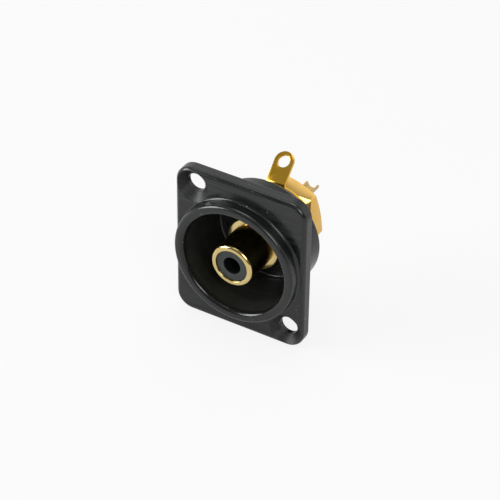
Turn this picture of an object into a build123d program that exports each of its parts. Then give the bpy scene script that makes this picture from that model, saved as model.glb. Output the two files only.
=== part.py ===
from build123d import *
import os
from math import cos, radians, sin, tan

# Phono panel socket. The socket's axis is Y: the front faces -Y, the cable side is +Y, +Z is up.
# The origin is on the axis, on the rear face of the flange, which lies against the panel.
# A turned piece is a half section drawn as (radius, y) and spun about Y. Millimetres throughout.

# Flange of the housing
flange_width = 26.0
flange_height = 31.0
flange_thickness = 2.4
flange_corner = 3.2
flange_front_edge = 0.8
flange_rear_edge = 0.15
screw_edge = 3.5
screw_hole = 3.6
countersink = 6.4
countersink_angle = 90.0

# Collar and recess in front of the panel
collar_margin = 1.0
collar_wall = 1.85
collar_height = 2.4
collar_outer_round = 0.65
collar_inner_round = 0.75
collar_root = 0.5
recess_draft = 0.65
recess_floor_y = 6.8
recess_floor_round = 0.5

# Cup behind the panel, with the boss that the lug and the nut are clamped to
cup_wall = 1.15
cup_shoulder_y = 7.9
cup_shoulder_round = 0.6
cup_root = 0.5
boss_lip = 0.2
boss_y = 10.9
boss_round = 0.35

# Sleeve: a turned body with a front sleeve, a shoulder on the recess's floor and a threaded barrel
sleeve_radius = 4.13
sleeve_proud = 0.3
sleeve_front_round = 0.6
sleeve_bore_radius = 3.15
sleeve_bore_lip = 0.12
shoulder_radius = 5.2
shoulder_length = 4.5
shoulder_edge = 0.25
barrel_radius = 4.75
barrel_end_y = 17.2
barrel_end_chamfer = 0.4
barrel_clearance = 0.1
stop_radius = 2.8
stop_length = 2.0
stop_y = 9.0
rear_bore_radius = 3.4

# Front insulator: a web with a tapered lead-in hole, and a tube round the contact
front_insulator_recess = 0.35
front_insulator_web = 3.0
front_insulator_wall = 0.6
lead_in_radius = 1.7
lead_in_draft = 0.07
fit_clearance = 0.05

# Centre contact: a split socket, a collar trapped at the stop, a stem and a solder cup
pin_radius = 1.6
socket_wall = 0.5
socket_gap = 0.3
socket_depth = 9.0
slit_width = 0.4
slit_length = 7.0
slit_count = 2
contact_collar_radius = 2.6
stem_radius = 1.35
cup_tip_y = 24.0
cup_bore_radius = 0.95
cup_depth = 4.5
scoop_length = 3.2
scoop_run_out = 0.8

# Rear insulator: a headed bush in the barrel's rear mouth
rear_insulator_proud = 0.4
rear_insulator_edge = 0.3

# Solder lug: a ring with one tab bent back, turned a little about the socket's axis
lug_turn = -4.5
lug_lip = 0.95
lug_thickness = 0.5
tab_width = 3.8
tab_length = 6.3
tab_lean = 52.0
tab_bend_radius = 0.5
tab_rise = 0.25
tab_hole = 2.35

# Toothed lock washer
washer_lip = 0.05
washer_thickness = 0.5
tooth_count = 12
tooth_depth = 1.2
tooth_gap = 0.6

# Nut
nut_wall = 1.65
nut_turn = 42.0
nut_thickness = 3.6
nut_front_chamfer = 45.0
nut_rear_chamfer = 25.0
nut_face_step = 0.3
nut_bore_chamfer = 0.45

# Radii that follow: the collar and the cup stay inside the flange, and the boss, the lug and the
# washer each show a lip round what is clamped to them
screw_x = flange_width / 2 - screw_edge
screw_z = flange_height / 2 - screw_edge
collar_radius = flange_width / 2 - collar_margin
recess_mouth_radius = collar_radius - collar_wall
recess_floor_radius = recess_mouth_radius - recess_draft
cup_radius = recess_floor_radius + cup_wall
socket_radius = pin_radius + socket_wall
barrel_hole_radius = barrel_radius + barrel_clearance
nut_flat_radius = barrel_hole_radius + nut_wall
washer_radius = nut_flat_radius + washer_lip
lug_ring_radius = washer_radius + lug_lip
boss_radius = lug_ring_radius + boss_lip

# Stations along the axis that follow
flange_front_y = -flange_thickness
rim_y = flange_front_y - collar_height
sleeve_front_y = rim_y - sleeve_proud
shoulder_front_y = recess_floor_y - shoulder_length
rear_bore_y = stop_y + stop_length
insulator_front_y = sleeve_front_y + front_insulator_recess
socket_front_y = insulator_front_y + front_insulator_web + socket_gap
lug_front_y = boss_y
washer_front_y = lug_front_y + lug_thickness
nut_front_y = washer_front_y + washer_thickness
nut_rear_y = nut_front_y + nut_thickness


def outline(corners):
    """Closed sketch through corners given as (across, along, corner round)."""
    points = [(across, along) for across, along, _ in corners]
    return make_face(FilletPolyline(points, radius=[corner[2] for corner in corners], close=True))


def turned(corners):
    """Solid turned about the socket's axis from a half section of (radius, y, corner round)."""
    return revolve(outline(corners), Axis.Y)


def tube(outer_radius, inner_radius, front_y, rear_y):
    """Plain turned tube between two stations."""
    return turned(
        [
            (inner_radius, front_y, 0),
            (outer_radius, front_y, 0),
            (outer_radius, rear_y, 0),
            (inner_radius, rear_y, 0),
        ]
    )


def rod(radius, front_y, rear_y):
    """Plain round bar between two stations."""
    across = Plane(origin=(0, front_y, 0), x_dir=(1, 0, 0), z_dir=(0, 1, 0))
    return extrude(across * Circle(radius), rear_y - front_y)


def edges_at(solid, y):
    """Edges that lie in the plane across the axis at y."""
    return solid.edges().filter_by_position(Axis.Y, y, y)


def make_housing():
    """Flange, collar, drafted recess and stepped cup: one black moulding."""
    front = Plane(origin=(0, 0, 0), x_dir=(1, 0, 0), z_dir=(0, -1, 0))
    flange = extrude(front * RectangleRounded(flange_width, flange_height, flange_corner), flange_thickness)
    flange = fillet(edges_at(flange, flange_front_y), flange_front_edge)
    flange = fillet(edges_at(flange, 0), flange_rear_edge)

    # The turned part of the mould runs into the flange, half way through its thickness.
    inside_flange = flange_front_y / 2
    past_collar_root = collar_radius + 1.1 * collar_root
    past_cup_root = cup_radius + 1.1 * cup_root
    cup = turned(
        [
            (barrel_hole_radius, recess_floor_y, 0),
            (recess_floor_radius, recess_floor_y, recess_floor_round),
            (recess_mouth_radius, rim_y, collar_inner_round),
            (collar_radius, rim_y, collar_outer_round),
            (collar_radius, flange_front_y, collar_root),
            (past_collar_root, flange_front_y, 0),
            (past_collar_root, inside_flange, 0),
            (past_cup_root, inside_flange, 0),
            (past_cup_root, 0, 0),
            (cup_radius, 0, cup_root),
            (cup_radius, cup_shoulder_y, cup_shoulder_round),
            (boss_radius, cup_shoulder_y, 0),
            (boss_radius, boss_y, boss_round),
            (barrel_hole_radius, boss_y, 0),
        ]
    )
    middle_of_wall = (recess_mouth_radius + cup_radius) / 2
    body = (flange - rod(middle_of_wall, 2 * rim_y, 2 * boss_y)) + cup

    hole_radius = screw_hole / 2
    sink_radius = countersink / 2
    sink_depth = (sink_radius - hole_radius) / tan(radians(countersink_angle / 2))
    sink = turned(
        [
            (0, 2 * flange_front_y, 0),
            (sink_radius, 2 * flange_front_y, 0),
            (sink_radius, flange_front_y, 0),
            (hole_radius, flange_front_y + sink_depth, 0),
            (hole_radius, flange_thickness, 0),
            (0, flange_thickness, 0),
        ]
    )
    for side in (-1, 1):
        body -= Pos(side * screw_x, 0, -side * screw_z) * sink
    return body


def make_sleeve():
    """Front sleeve, shoulder and barrel, bored from both ends down to a stop."""
    return turned(
        [
            (sleeve_bore_radius, sleeve_front_y, sleeve_bore_lip),
            (sleeve_radius, sleeve_front_y, sleeve_front_round),
            (sleeve_radius, shoulder_front_y, 0),
            (shoulder_radius - shoulder_edge, shoulder_front_y, 0),
            (shoulder_radius, shoulder_front_y + shoulder_edge, 0),
            (shoulder_radius, recess_floor_y, 0),
            (barrel_radius, recess_floor_y, 0),
            (barrel_radius, barrel_end_y - barrel_end_chamfer, 0),
            (barrel_radius - barrel_end_chamfer, barrel_end_y, 0),
            (rear_bore_radius, barrel_end_y, 0),
            (rear_bore_radius, rear_bore_y, 0),
            (stop_radius, rear_bore_y, 0),
            (stop_radius, stop_y, 0),
            (sleeve_bore_radius, stop_y, 0),
        ]
    )


def make_front_insulator():
    """Web with a tapered lead-in hole, and the tube that centres the split socket."""
    outer = sleeve_bore_radius - fit_clearance
    inner = outer - front_insulator_wall
    back_of_web = insulator_front_y + front_insulator_web
    return turned(
        [
            (lead_in_radius, insulator_front_y, 0),
            (outer, insulator_front_y, 0),
            (outer, stop_y, 0),
            (inner, stop_y, 0),
            (inner, back_of_web, 0),
            (lead_in_radius - lead_in_draft, back_of_web, 0),
        ]
    )


def make_contact():
    """Split socket, trapped collar, stem and scooped solder cup, turned from one bar."""
    socket_floor_y = socket_front_y + socket_depth
    body = turned(
        [
            (pin_radius, socket_front_y, 0),
            (socket_radius, socket_front_y, 0),
            (socket_radius, stop_y, 0),
            (contact_collar_radius, stop_y, 0),
            (contact_collar_radius, rear_bore_y, 0),
            (stem_radius, rear_bore_y, 0),
            (stem_radius, cup_tip_y, 0),
            (cup_bore_radius, cup_tip_y, 0),
            (cup_bore_radius, cup_tip_y - cup_depth, 0),
            (0, cup_tip_y - cup_depth, 0),
            (0, socket_floor_y, 0),
            (pin_radius, socket_floor_y, 0),
        ]
    )
    slit = Pos(0, socket_front_y, 0) * Box(4 * socket_radius, 2 * slit_length, slit_width)
    for i in range(slit_count):
        body -= Rot(0, 180 * i / slit_count, 0) * slit

    # The upper half of the cup is cut away, with a slanted run-out at the stem end.
    side = Plane(origin=(-2 * stem_radius, 0, 0), x_dir=(0, 1, 0), z_dir=(1, 0, 0))
    scoop = Polyline(
        (cup_tip_y - scoop_length, 0),
        (2 * cup_tip_y, 0),
        (2 * cup_tip_y, 2 * stem_radius),
        (cup_tip_y - scoop_length - scoop_run_out, 2 * stem_radius),
        close=True,
    )
    return body - extrude(side * make_face(scoop), 4 * stem_radius)


def make_rear_insulator():
    """Headed bush that carries the contact's stem in the barrel's rear mouth."""
    outer = rear_bore_radius - fit_clearance
    inner = stem_radius + fit_clearance
    end_y = barrel_end_y + rear_insulator_proud
    return turned(
        [
            (inner, rear_bore_y, 0),
            (outer, rear_bore_y, 0),
            (outer, end_y - rear_insulator_edge, 0),
            (outer - rear_insulator_edge, end_y, 0),
            (inner, end_y, 0),
        ]
    )


def make_lug():
    """Ring tag stamped from sheet, its drilled tab bent back at the ring's edge."""
    ring = tube(lug_ring_radius, barrel_hole_radius, lug_front_y, washer_front_y)

    # The bend's corner is a little above the ring. Its outside is the front of the sheet.
    bend_z = lug_ring_radius + tab_rise
    lean = radians(tab_lean)
    outside = tab_bend_radius + lug_thickness
    bend_start = bend_z - outside * tan(lean / 2)
    cleared = Pos(0, lug_front_y, bend_start + lug_ring_radius / 2)
    ring -= cleared * Box(tab_width, 4 * lug_thickness, lug_ring_radius)

    along_y, along_z = sin(lean), cos(lean)
    strip = [
        (lug_front_y, barrel_radius + lug_thickness, 0),
        (lug_front_y, bend_z, outside),
        (lug_front_y + tab_length * along_y, bend_z + tab_length * along_z, 0),
        (
            lug_front_y + tab_length * along_y + lug_thickness * along_z,
            bend_z + tab_length * along_z - lug_thickness * along_y,
            0,
        ),
        (washer_front_y, bend_z - lug_thickness * tan(lean / 2), tab_bend_radius),
        (washer_front_y, barrel_radius + lug_thickness, 0),
    ]
    side = Plane(origin=(-tab_width / 2, 0, 0), x_dir=(0, 1, 0), z_dir=(1, 0, 0))
    tab = extrude(side * outline(strip), tab_width)

    # The end is rounded and drilled square to the tab's own face.
    face = Plane(origin=(0, lug_front_y, bend_z), x_dir=(1, 0, 0), z_dir=(0, -along_z, along_y))
    end = Pos(0, tab_length - tab_width / 2)
    waste = Pos(0, tab_length) * Rectangle(2 * tab_width, tab_width) - end * Circle(tab_width / 2)
    tab -= extrude(face * (waste + end * Circle(tab_hole / 2)), 2 * lug_thickness, both=True)
    return Rot(0, lug_turn, 0) * (ring + tab)


def make_washer():
    """Lock washer with teeth on its inner edge."""
    root = barrel_hole_radius + tooth_depth
    washer = tube(washer_radius, barrel_hole_radius, washer_front_y, nut_front_y)
    middle_y = (washer_front_y + nut_front_y) / 2
    gap = Pos(root / 2, middle_y, 0) * Box(root, 2 * washer_thickness, tooth_gap)
    for i in range(tooth_count):
        washer -= Rot(0, 360 * (i + 0.5) / tooth_count, 0) * gap
    return washer


def make_nut():
    """Hexagon nut with turned chamfers on both faces."""
    turn = radians(nut_turn)
    across = Plane(origin=(0, nut_front_y, 0), x_dir=(cos(turn), 0, sin(turn)), z_dir=(0, 1, 0))
    hexagon = extrude(across * RegularPolygon(nut_flat_radius, 6, major_radius=False), nut_thickness)
    face_radius = nut_flat_radius - nut_face_step
    reach = nut_flat_radius / 2
    blank = turned(
        [
            (0, nut_front_y, 0),
            (face_radius, nut_front_y, 0),
            (face_radius + reach, nut_front_y + reach * tan(radians(nut_front_chamfer)), 0),
            (face_radius + reach, nut_rear_y - reach * tan(radians(nut_rear_chamfer)), 0),
            (face_radius, nut_rear_y, 0),
            (0, nut_rear_y, 0),
        ]
    )
    bore = turned(
        [
            (0, nut_front_y, 0),
            (barrel_hole_radius + nut_bore_chamfer, nut_front_y, 0),
            (barrel_hole_radius, nut_front_y + nut_bore_chamfer, 0),
            (barrel_hole_radius, nut_rear_y - nut_bore_chamfer, 0),
            (barrel_hole_radius + nut_bore_chamfer, nut_rear_y, 0),
            (0, nut_rear_y, 0),
        ]
    )
    return (hexagon & blank) - bore


parts = {
    "housing": make_housing(),
    "jack_sleeve": make_sleeve(),
    "front_insulator": make_front_insulator(),
    "centre_contact": make_contact(),
    "rear_insulator": make_rear_insulator(),
    "solder_lug": make_lug(),
    "lock_washer": make_washer(),
    "hex_nut": make_nut(),
}

os.makedirs("parts", exist_ok=True)
for name, part in parts.items():
    export_step(part, f"parts/{name}.step")
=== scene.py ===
from math import atan2, cos, hypot, pi, radians, sin, tan

import bmesh
import bpy
from mathutils import Matrix, Vector


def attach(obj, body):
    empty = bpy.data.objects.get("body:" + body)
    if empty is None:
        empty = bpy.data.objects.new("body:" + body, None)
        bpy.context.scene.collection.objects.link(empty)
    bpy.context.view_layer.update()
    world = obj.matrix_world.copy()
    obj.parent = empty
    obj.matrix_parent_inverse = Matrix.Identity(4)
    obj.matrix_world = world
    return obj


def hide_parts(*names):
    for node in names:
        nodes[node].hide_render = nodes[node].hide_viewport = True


# Phono panel socket, dressed over its CAD frame. The socket's axis is Y and its front faces -Y.
# Lengths are written in millimetres and multiplied by mm where they reach Blender.
mm = 0.001
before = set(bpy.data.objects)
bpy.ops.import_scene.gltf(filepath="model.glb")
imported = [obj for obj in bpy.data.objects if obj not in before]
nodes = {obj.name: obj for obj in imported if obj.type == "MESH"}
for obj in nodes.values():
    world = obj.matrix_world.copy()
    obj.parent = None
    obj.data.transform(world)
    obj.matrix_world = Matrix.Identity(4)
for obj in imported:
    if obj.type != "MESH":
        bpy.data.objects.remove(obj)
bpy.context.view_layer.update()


# --- Camera -------------------------------------------------------------------------------------
# A long lens held above the socket's front right corner. The picture is taken as 500 x 500, and
# the camera stands off the line through the origin by a fraction of a millimetre each way.
view_azimuth, view_elevation, view_roll = radians(30.182), radians(37.6), radians(0.722)
view_distance = 384.457
view_right_shift, view_up_shift = 0.7249, 0.2615
focal_pixels, picture_pixels, sensor_width = 2191.964, 500, 36.0

view_back = Vector(
    (
        sin(view_azimuth) * cos(view_elevation),
        -cos(view_azimuth) * cos(view_elevation),
        sin(view_elevation),
    )
)
level_right = Vector((cos(view_azimuth), sin(view_azimuth), 0))
level_up = view_back.cross(level_right)
view_right = level_right * cos(view_roll) + level_up * sin(view_roll)
view_up = level_up * cos(view_roll) - level_right * sin(view_roll)

camera_data = bpy.data.cameras.new("camera")
camera_data.sensor_width = sensor_width
camera_data.lens = focal_pixels / picture_pixels * sensor_width
camera_data.clip_start = 0.01
camera = bpy.data.objects.new("camera", camera_data)
camera_turn = Matrix((view_right, view_up, view_back)).transposed().to_4x4()
camera_place = view_back * view_distance + view_right * view_right_shift + view_up * view_up_shift
camera.matrix_world = Matrix.Translation(camera_place * mm) @ camera_turn
bpy.context.scene.collection.objects.link(camera)
bpy.context.scene.camera = camera


# --- Housing ------------------------------------------------------------------------------------
# One black moulding: flange, collar, drafted recess and the stepped cup behind the panel. The
# mould leaves a satin skin with a faint mottle, drawn along X on the flange and in rings on the
# round parts, as its tools were milled and turned. It is rubbed brighter where hands have been.
class Strand:
    """A value on its way through a finish. Arithmetic on it adds Math nodes."""

    def __init__(self, finish, socket):
        self.finish = finish
        self.socket = socket

    def worked(self, operation, first, second=0.0):
        return self.finish.add("ShaderNodeMath", {"operation": operation}, {0: first, 1: second})

    def __add__(self, other):
        return self.worked("ADD", self, other)

    def __radd__(self, other):
        return self.worked("ADD", other, self)

    def __sub__(self, other):
        return self.worked("SUBTRACT", self, other)

    def __rsub__(self, other):
        return self.worked("SUBTRACT", other, self)

    def __mul__(self, other):
        return self.worked("MULTIPLY", self, other)

    def __rmul__(self, other):
        return self.worked("MULTIPLY", other, self)

    def sine(self):
        return self.worked("SINE", self)

    def between(self, low, high):
        """0 below low and 1 above high, with a smooth step between them."""
        settings = {"interpolation_type": "SMOOTHSTEP"}
        sockets = {"Value": self, "From Min": low, "From Max": high}
        return self.finish.add("ShaderNodeMapRange", settings, sockets)

    def past(self, place, blend):
        """0 before that place and 1 after it, both in millimetres, with a smooth step between."""
        return self.between((place - blend / 2) * mm, (place + blend / 2) * mm)


class Nodes:
    """A node tree that strands are worked in."""

    def __init__(self, tree):
        self.tree = tree

    def add(self, kind, settings=None, sockets=None, output=0):
        """Adds a node: its settings first, then the value or strand of each socket."""
        node = self.tree.nodes.new(kind)
        for name, value in (settings or {}).items():
            setattr(node, name, value)
        for name, value in (sockets or {}).items():
            self.feed(node.inputs[name], value)
        return Strand(self, node.outputs[output])

    def feed(self, socket, value):
        if isinstance(value, Strand):
            self.tree.links.new(value.socket, socket)
        else:
            socket.default_value = value


class Finish(Nodes):
    """A material on the Principled shader, its pattern fixed to the object."""

    def __init__(self, name, **fixed):
        self.material = bpy.data.materials.new(name)
        self.material.use_nodes = True
        super().__init__(self.material.node_tree)
        self.shader = self.tree.nodes["Principled BSDF"]
        for socket, value in fixed.items():
            self.shader.inputs[socket.replace("_", " ")].default_value = value
        self.place = self.add("ShaderNodeTexCoord", output="Object")

    def noise(self, scale, detail=2.0, roughness=0.5, place=None):
        sockets = {"Vector": place or self.place, "Scale": scale}
        sockets.update({"Detail": detail, "Roughness": roughness})
        return self.add("ShaderNodeTexNoise", {}, sockets)

    def stretched(self, x, y, z):
        """The object's own place, scaled along each axis."""
        return self.add("ShaderNodeMapping", {}, {"Vector": self.place, "Scale": (x, y, z)})

    def from_axis(self, x=0.0, z=0.0):
        """How far the point lies from the line along Y through x and z, given in millimetres."""
        flattened = {0: self.place, 1: (1, 0, 1)}
        flat = self.add("ShaderNodeVectorMath", {"operation": "MULTIPLY"}, flattened)
        ends = {0: flat, 1: (x * mm, 0, z * mm)}
        return self.add("ShaderNodeVectorMath", {"operation": "DISTANCE"}, ends, output="Value")

    def along_axis(self):
        """Where the point lies along the socket's axis."""
        return self.add("ShaderNodeSeparateXYZ", {}, {0: self.place}, output="Y")

    def mixed(self, factor, first, second):
        sockets = {"Factor": factor, "A": first, "B": second}
        return self.add("ShaderNodeMix", {"data_type": "RGBA"}, sockets, output="Result")

    def bumped(self, height, distance, over=None):
        sockets = {"Height": height, "Distance": distance}
        if over:
            sockets["Normal"] = over
        return self.add("ShaderNodeBump", {}, sockets)

    def show(self, **varying):
        """Gives the shader's sockets their values or strands, and returns the material."""
        for socket, value in varying.items():
            self.feed(self.shader.inputs[socket.replace("_", " ")], value)
        return self.material


moulding = Finish("black_moulding", IOR=1.5)
reach, station = moulding.from_axis(), moulding.along_axis()

# Where the skin differs: on the round parts, in the recess, on its floor and in the countersinks.
collar_foot_radius, mouth_radius, recess_start_y, floor_start_y = 12.5, 10.5, -3.9, 5.4
screw_x, screw_z, countersink_radius, countersink_end_y = 9.5, 12.0, 3.2, -0.7
round_parts = 1 - reach.past(collar_foot_radius, blend=0.2)
within_mouth = 1 - reach.past(mouth_radius, blend=0.4)
recessed = station.past(recess_start_y, blend=1.0) * within_mouth
recess_floor = station.past(floor_start_y, blend=0.8) * within_mouth
beside_upper = moulding.from_axis(-screw_x, screw_z).past(countersink_radius, blend=0.2)
beside_lower = moulding.from_axis(screw_x, -screw_z).past(countersink_radius, blend=0.2)
before_holes = 1 - station.past(countersink_end_y, blend=0.4)
countersinks = before_holes * (2 - beside_upper - beside_lower)

# The marks on it, each from 0 to 1. A scale is about the number of marks in a metre.
streak_scale, streak_scale_along_x, ring_scale = 2600, 160, 3000
mottle = moulding.noise(420, detail=3, roughness=0.6)
grain = moulding.noise(5200)
milled_place = moulding.stretched(streak_scale_along_x, streak_scale, streak_scale)
ring_sockets = {"X": reach * ring_scale, "Y": station * ring_scale}
ring_place = moulding.add("ShaderNodeCombineXYZ", {}, ring_sockets)
milled = moulding.noise(1, place=milled_place)
turned_rings = moulding.noise(1, place=ring_place)
streaks = milled * (1 - round_parts) + turned_rings * round_parts
rubbed = moulding.noise(95, detail=4, roughness=0.65).between(0.48, 0.7)
speck_sockets = {"Vector": moulding.place, "Scale": 520}
speck_distance = moulding.add("ShaderNodeTexVoronoi", {}, speck_sockets)
specks = 1 - speck_distance.between(0.03, 0.065)
dust = specks * (1 - recessed * 0.8)
# Inside the recess the skin is painted a little paler: painted light that stands in for light
# reaching the recess walls.
recess_painted_fill = recessed * 0.025

black, worn_black = (0.0026, 0.0038, 0.0031, 1), (0.0195, 0.0222, 0.0205, 1)
# The pale colour serves the real dust specks and the painted light in the recess.
dust_and_painted_fill = (0.22, 0.23, 0.22, 1)
wear = rubbed * 0.25 + mottle * 0.15 + streaks.between(0.38, 0.66) * 0.6
worn = moulding.mixed(wear, black, worn_black)
skin = moulding.bumped(streaks, 0.007 * mm, over=moulding.bumped(mottle, 0.03 * mm))
gloss_roughness = 0.11
dulled = mottle * 0.09 + rubbed * 0.09 + streaks * 0.09
dulled_places = (recessed - recess_floor) * 0.22 + countersinks * 0.28 + dust * 0.4
moulded = moulding.show(
    Base_Color=moulding.mixed(dust + recess_painted_fill, worn, dust_and_painted_fill),
    Roughness=gloss_roughness + dulled + dulled_places,
    Normal=moulding.bumped(grain, 0.003 * mm, over=skin),
)


def dress(node, material):
    """Gives a CAD node its finish."""
    nodes[node].data.materials.clear()
    nodes[node].data.materials.append(material)


dress("housing", moulded)


# --- Jack sleeve --------------------------------------------------------------------------------
# The socket's outer contact: a front sleeve, a shoulder and a threaded barrel, turned in one from
# brass bar and gold plated. The lathe's rings show faintly through the plate.
sleeve_radius, sleeve_bore_radius = 4.13, 3.15
sleeve_front_y, sleeve_front_round, sleeve_bore_lip = -5.1, 0.6, 0.12
shoulder_radius, shoulder_edge, shoulder_front_y, recess_floor_y = 5.2, 0.25, 2.3, 6.8
barrel_radius, thread_depth, thread_pitch = 4.75, 0.43, 0.79
barrel_end_y, barrel_end_chamfer, thread_start_y = 17.2, 0.4, 14.6
stop_radius, stop_y = 2.8, 9.0
rear_bore_radius, rear_bore_y, rear_bore_lip = 3.4, 11.0, 0.1


def weld(bm):
    """Merges the vertices that share a place."""
    bmesh.ops.remove_doubles(bm, verts=bm.verts, dist=0.0005 * mm)


def close(bm):
    """Welds a shape and turns all its faces outwards."""
    weld(bm)
    bmesh.ops.recalc_face_normals(bm, faces=bm.faces)


def turned(section):
    """Spins a closed half section of (radius, y) about the socket's axis."""
    bm = bmesh.new()
    points = [bm.verts.new((radius * mm, y * mm, 0)) for radius, y in section]
    edges = [bm.edges.new(pair) for pair in zip(points, points[1:] + points[:1])]
    bmesh.ops.spin(
        bm,
        geom=points + edges,
        cent=(0, 0, 0),
        axis=(0, 1, 0),
        angle=2 * pi,
        steps=128,
        use_merge=True,
    )
    close(bm)
    return bm


def round_edges(bm, edges, size, segments=2, clamp_overlap=True):
    """Bevels those edges to a round of that size in millimetres."""
    bmesh.ops.bevel(
        bm,
        geom=edges,
        offset=size * mm,
        affect="EDGES",
        segments=segments,
        profile=0.5,
        clamp_overlap=clamp_overlap,
        material=-1,
    )


def radius_of(vert):
    return hypot(vert.co.x, vert.co.z) / mm


def ease_ring(bm, radius, y, size, segments=4):
    """Rounds the edge that runs round the axis at that radius and y."""
    tolerance = 0.002

    def on_ring(vert):
        beside = abs(radius_of(vert) - radius) < tolerance
        return beside and abs(vert.co.y / mm - y) < tolerance

    ring = [edge for edge in bm.edges if all(on_ring(vert) for vert in edge.verts)]
    round_edges(bm, ring, size, segments, clamp_overlap=False)


def placed(bm, name, material):
    """Puts a finished bmesh in the scene as an object of that material."""
    mesh = bpy.data.meshes.new(name)
    bm.to_mesh(mesh)
    bm.free()
    mesh.materials.append(material)
    made = bpy.data.objects.new(name, mesh)
    bpy.context.scene.collection.objects.link(made)
    return made


def piece(bm, name, material, slot, *stands_for):
    """Turns a finished bmesh into a piece on the root body, smooth but for its sharp edges."""
    crease_angle = radians(32)
    for face in bm.faces:
        face.smooth = True
    for edge in bm.edges:
        edge.smooth = edge.calc_face_angle(pi) < crease_angle
    made = placed(bm, name, material)
    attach(made, "root")
    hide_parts(*stands_for)


def plated(name, light, deep, rings, roughness):
    """Gold plate over brass, with lathe rings of that height or the soft grain of rolled sheet."""
    gold = Finish(name, Metallic=1.0)
    cloud = gold.noise(260, detail=3)
    haze = gold.noise(1500, detail=3, roughness=0.6)
    ring_pitch = 0.09 * mm
    lathe = ((gold.from_axis() + gold.along_axis()) * (2 * pi / ring_pitch)).sine()
    return gold.show(
        Base_Color=gold.mixed(cloud.between(0.35, 0.7), light, deep),
        Roughness=roughness + haze * 0.04 + cloud * 0.04,
        Normal=gold.bumped(lathe * rings + haze * (1 - rings), 0.0006 * mm),
    )


sleeve_light, sleeve_deep = (0.75, 0.59, 0.27, 1), (0.70, 0.52, 0.20, 1)
turned_gold = plated("turned_gold", sleeve_light, sleeve_deep, rings=0.4, roughness=0.11)

thread_root = barrel_radius - thread_depth
sleeve = turned(
    [
        (sleeve_bore_radius, sleeve_front_y),
        (sleeve_radius, sleeve_front_y),
        (sleeve_radius, shoulder_front_y),
        (shoulder_radius, shoulder_front_y),
        (shoulder_radius, recess_floor_y),
        (barrel_radius, recess_floor_y),
        (barrel_radius, thread_start_y),
        (thread_root, thread_start_y),
        (thread_root, barrel_end_y),
        (rear_bore_radius, barrel_end_y),
        (rear_bore_radius, rear_bore_y),
        (stop_radius, rear_bore_y),
        (stop_radius, stop_y),
        (sleeve_bore_radius, stop_y),
    ]
)
ease_ring(sleeve, sleeve_radius, sleeve_front_y, sleeve_front_round, segments=6)
ease_ring(sleeve, sleeve_bore_radius, sleeve_front_y, sleeve_bore_lip)
ease_ring(sleeve, shoulder_radius, shoulder_front_y, shoulder_edge, segments=3)
ease_ring(sleeve, rear_bore_radius, barrel_end_y, rear_bore_lip)

# The thread's ridge starts inside the nut, climbs to the barrel's end and is cut by its chamfer.
thread_turns, steps_per_turn = 3.6, 96
crest_start, crest_end = 0.44 * thread_pitch, 0.56 * thread_pitch
ridge_foot = thread_root - 0.05
ridge_section = [
    (ridge_foot, thread_start_y),
    (barrel_radius, thread_start_y + crest_start),
    (barrel_radius, thread_start_y + crest_end),
    (ridge_foot, thread_start_y + thread_pitch),
]
ridge = bmesh.new()
corners = [ridge.verts.new((radius * mm, y * mm, 0)) for radius, y in ridge_section]
ridge_face = ridge.faces.new(corners)
bmesh.ops.spin(
    ridge,
    geom=[ridge_face, *ridge_face.edges, *corners],
    cent=(0, 0, 0),
    axis=(0, 1, 0),
    dvec=(0, thread_pitch / steps_per_turn * mm, 0),
    angle=2 * pi * thread_turns,
    steps=round(thread_turns * steps_per_turn),
)
chamfer_start_y = barrel_end_y - barrel_end_chamfer
for vert in ridge.verts:
    y = min(vert.co.y / mm, barrel_end_y)
    limit = barrel_radius - max(0, y - chamfer_start_y)
    inward = min(1, limit / radius_of(vert))
    vert.co = Vector((vert.co.x * inward, y * mm, vert.co.z * inward))
close(ridge)
ridge_mesh = bpy.data.meshes.new("thread_ridge")
ridge.to_mesh(ridge_mesh)
ridge.free()
sleeve.from_mesh(ridge_mesh)
bpy.data.meshes.remove(ridge_mesh)
piece(sleeve, "jack_sleeve_turned", turned_gold, "gold_plate", "jack_sleeve")


# --- Front insulator ----------------------------------------------------------------------------
# A dark moulded bush in the sleeve's mouth. Its face carries the lead-in hole for the plug's pin,
# and its tube centres the split socket behind.
bush = Finish("insulator", IOR=1.49)
bush_cloud = bush.noise(600, detail=3)
bush_grain = bush.noise(7000)
bush_dark, bush_light = (0.016, 0.0225, 0.021, 1), (0.027, 0.036, 0.034, 1)
bush_face = bush.mixed(bush_cloud.between(0.3, 0.75), bush_dark, bush_light)
# Within the lead-in hole's radius the insulator is painted near black: painted shade standing in
# for the shade of the deep hole.
lead_in_radius, lead_in_painted_shade = 1.715, (0.005, 0.006, 0.006, 1)
in_hole = 1 - bush.from_axis().past(lead_in_radius, blend=0.05)
insulating = bush.show(
    Base_Color=bush.mixed(in_hole, bush_face, lead_in_painted_shade),
    Roughness=0.3 + bush_cloud * 0.12,
    Normal=bush.bumped(bush_grain, 0.004 * mm, over=bush.bumped(bush_cloud, 0.03 * mm)),
)
dress("front_insulator", insulating)


# --- Centre contact -----------------------------------------------------------------------------
# A split socket with four leaves, a trapped collar, a stem and a scooped solder cup, turned and
# milled from one bar and gold plated. The mill's edges are tumbled off before plating.
def edges_over(bm, degrees):
    """The edges whose two faces meet at more than that angle."""
    return [edge for edge in bm.edges if edge.calc_face_angle(0) > radians(degrees)]


def tumbled(node, size):
    """A copy of a CAD node's mesh, welded, with its sharp edges rounded to that size."""
    bm = bmesh.new()
    bm.from_mesh(nodes[node].data)
    weld(bm)
    bmesh.ops.dissolve_limit(bm, angle_limit=radians(0.5), verts=bm.verts, edges=bm.edges)
    round_edges(bm, edges_over(bm, degrees=32), size)
    return bm


contact_light, contact_deep = (0.60, 0.41, 0.13, 1), (0.50, 0.32, 0.08, 1)
contact_gold = plated("contact_gold", contact_light, contact_deep, rings=0.4, roughness=0.1)
contact = tumbled("centre_contact", size=0.05)
piece(contact, "centre_contact_tumbled", contact_gold, "gold_plate", "centre_contact")


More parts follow.
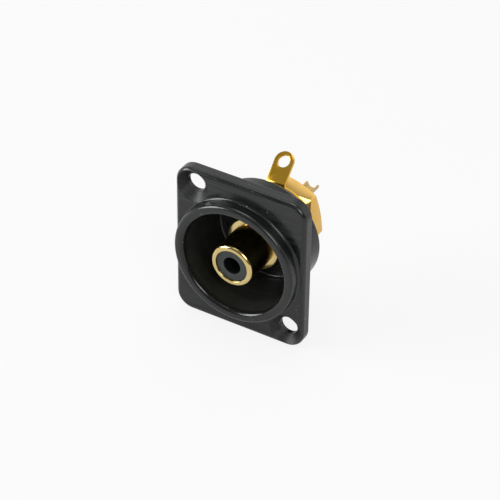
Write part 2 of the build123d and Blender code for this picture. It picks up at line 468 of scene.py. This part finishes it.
# --- Rear insulator -----------------------------------------------------------------------------
# A bush of the same dark plastic, pressed into the barrel's rear mouth. It carries the contact's
# stem and insulates it from the barrel.
dress("rear_insulator", insulating)


# --- Solder lug ---------------------------------------------------------------------------------
# A ring tag stamped from brass sheet, its drilled tab bent back, then plated. The sheet has a
# softer grain than the turned pieces, and the punch leaves its edges slightly rounded.
sheet_light, sheet_deep = (0.88, 0.53, 0.065, 1), (0.80, 0.46, 0.044, 1)
sheet_gold = plated("sheet_gold", sheet_light, sheet_deep, rings=0.0, roughness=0.12)
lug = tumbled("solder_lug", size=0.07)
piece(lug, "solder_lug_stamped", sheet_gold, "gold_plate", "solder_lug")


# --- Lock washer --------------------------------------------------------------------------------
# A toothed washer stamped from hard strip and gold plated. The nut presses it against the lug,
# and its teeth keep both from turning.
washer = tumbled("lock_washer", size=0.05)
piece(washer, "lock_washer_stamped", sheet_gold, "gold_plate", "lock_washer")


# --- Hexagon nut --------------------------------------------------------------------------------
# Cut from hexagon brass bar, chamfered on the lathe at both faces so that arcs stand on its flats,
# tapped, and gold plated.
nut_flat_radius, nut_turn = 6.5, 42.0
nut_front_y, nut_rear_y = 11.9, 15.5
nut_front_slope, nut_rear_slope = tan(radians(45)), tan(radians(25))
nut_face_radius, nut_bore_radius, nut_bore_chamfer = 6.2, 4.85, 0.45
nut_mouth_radius = nut_bore_radius + nut_bore_chamfer
nut_steps, nut_edge_round = 192, 0.05


def hexagon_radius(angle):
    """How far the nut's side lies from the axis in that direction."""
    sixth = radians(60)
    return nut_flat_radius / cos((angle - radians(nut_turn)) % sixth - sixth / 2)


def nut_ring(bm, ring, radius, y):
    """Draws a ring of edges out to a new one, whose radius and y follow from the direction."""
    if ring is None:
        upright = Matrix.Rotation(pi / 2, 4, "X")
        made = bmesh.ops.create_circle(bm, segments=nut_steps, radius=mm, matrix=upright)
        verts = made["verts"]
    else:
        made = bmesh.ops.extrude_edge_only(bm, edges=ring)
        verts = [part for part in made["geom"] if isinstance(part, bmesh.types.BMVert)]
    for vert in verts:
        angle = atan2(vert.co.z, vert.co.x)
        out = radius(angle)
        vert.co = Vector((cos(angle) * out, y(out), sin(angle) * out)) * mm
    fresh = set(verts)
    return [edge for edge in bm.edges if fresh.issuperset(edge.verts)]


nut = bmesh.new()
ring = None
for radius, y in [
    (lambda angle: nut_bore_radius, lambda out: nut_front_y + nut_bore_chamfer),
    (lambda angle: nut_mouth_radius, lambda out: nut_front_y),
    (lambda angle: nut_face_radius, lambda out: nut_front_y),
    (hexagon_radius, lambda out: nut_front_y + (out - nut_face_radius) * nut_front_slope),
    (hexagon_radius, lambda out: nut_rear_y - (out - nut_face_radius) * nut_rear_slope),
    (lambda angle: nut_face_radius, lambda out: nut_rear_y),
    (lambda angle: nut_mouth_radius, lambda out: nut_rear_y),
    (lambda angle: nut_bore_radius, lambda out: nut_rear_y - nut_bore_chamfer),
    (lambda angle: nut_bore_radius, lambda out: nut_front_y + nut_bore_chamfer),
]:
    ring = nut_ring(nut, ring, radius, y)
close(nut)
round_edges(nut, edges_over(nut, degrees=15), nut_edge_round)
nut_light, nut_deep = (0.90, 0.58, 0.18, 1), (0.84, 0.50, 0.12, 1)
nut_gold = plated("nut_gold", nut_light, nut_deep, rings=0.3, roughness=0.13)
piece(nut, "hex_nut_cut", nut_gold, "gold_plate", "hex_nut")


# --- Studio -------------------------------------------------------------------------------------
# A pale floor under the flange's lower edge, soft boxes overhead, at front left and at front
# right, and a room that is bright behind. The camera sees floor and room almost white, and the
# floor keeps its shadow.
floor_z, floor_reach = -15.5, 3000
floor_white_to_camera, floor_white_to_gloss = 0.85, 0.3
paper = Finish("floor", Roughness=0.9)
sight = paper.add("ShaderNodeLightPath", output="Is Camera Ray")
sheen = paper.add("ShaderNodeLightPath", output="Is Glossy Ray")
glow = paper.add("ShaderNodeEmission", {}, {"Color": (1, 1, 1, 1), "Strength": 1.0})
paper.show(Base_Color=(0.66, 0.66, 0.66, 1))
shaded = Strand(paper, paper.shader.outputs["BSDF"])
seen = sight * floor_white_to_camera + sheen * floor_white_to_gloss
blend = paper.add("ShaderNodeMixShader", {}, {"Fac": seen, 1: shaded, 2: glow})
paper.feed(paper.tree.nodes["Material Output"].inputs["Surface"], blend)

ground = bmesh.new()
level = Matrix.Translation((0, 0, floor_z * mm))
bmesh.ops.create_grid(ground, x_segments=1, y_segments=1, size=floor_reach * mm, matrix=level)
floor = placed(ground, "floor", paper.material)


def soft_box(name, place, width, height, power):
    """A soft lamp at place, in millimetres, that faces the socket."""
    light = bpy.data.lights.new(name, "AREA")
    light.shape = "RECTANGLE"
    light.size, light.size_y = width * mm, height * mm
    light.energy = power
    lamp = bpy.data.objects.new(name, light)
    stand = Vector(place)
    turn = (-stand).to_track_quat("-Z", "Y").to_matrix().to_4x4()
    lamp.matrix_world = Matrix.Translation(stand * mm) @ turn
    bpy.context.scene.collection.objects.link(lamp)


soft_box("overhead", (-60, 60, 520), width=300, height=300, power=0.7)
soft_box("key", (-445, -267, 213), width=340, height=240, power=2.5)
soft_box("fill", (354, -268, 342), width=260, height=260, power=1.1)

world = bpy.data.worlds.new("room")
bpy.context.scene.world = world
world.use_nodes = True
room = Nodes(world.node_tree)
direction = room.add("ShaderNodeTexCoord", output="Generated")
across = room.add("ShaderNodeSeparateXYZ", {}, {0: direction}, output="Y")
height = room.add("ShaderNodeSeparateXYZ", {}, {0: direction}, output="Z")
wall_glow, ceiling_gain = 0.12, 0.18
behind, overhead = across.between(-0.1, 0.45), height.between(0.5, 0.95)
sweep = behind * (1 - overhead)
walls = wall_glow + height.between(0.3, 0.8) * ceiling_gain
eye = room.add("ShaderNodeLightPath", output="Is Camera Ray")
through = room.add("ShaderNodeLightPath", output="Is Transmission Ray")
direct = eye + through
background = world.node_tree.nodes["Background"]
background.inputs["Color"].default_value = (1, 1, 1, 1)
room.feed(background.inputs["Strength"], direct + (1 - direct) * (walls + sweep * (1 - walls)))

bpy.context.scene.view_settings.view_transform = "Standard"
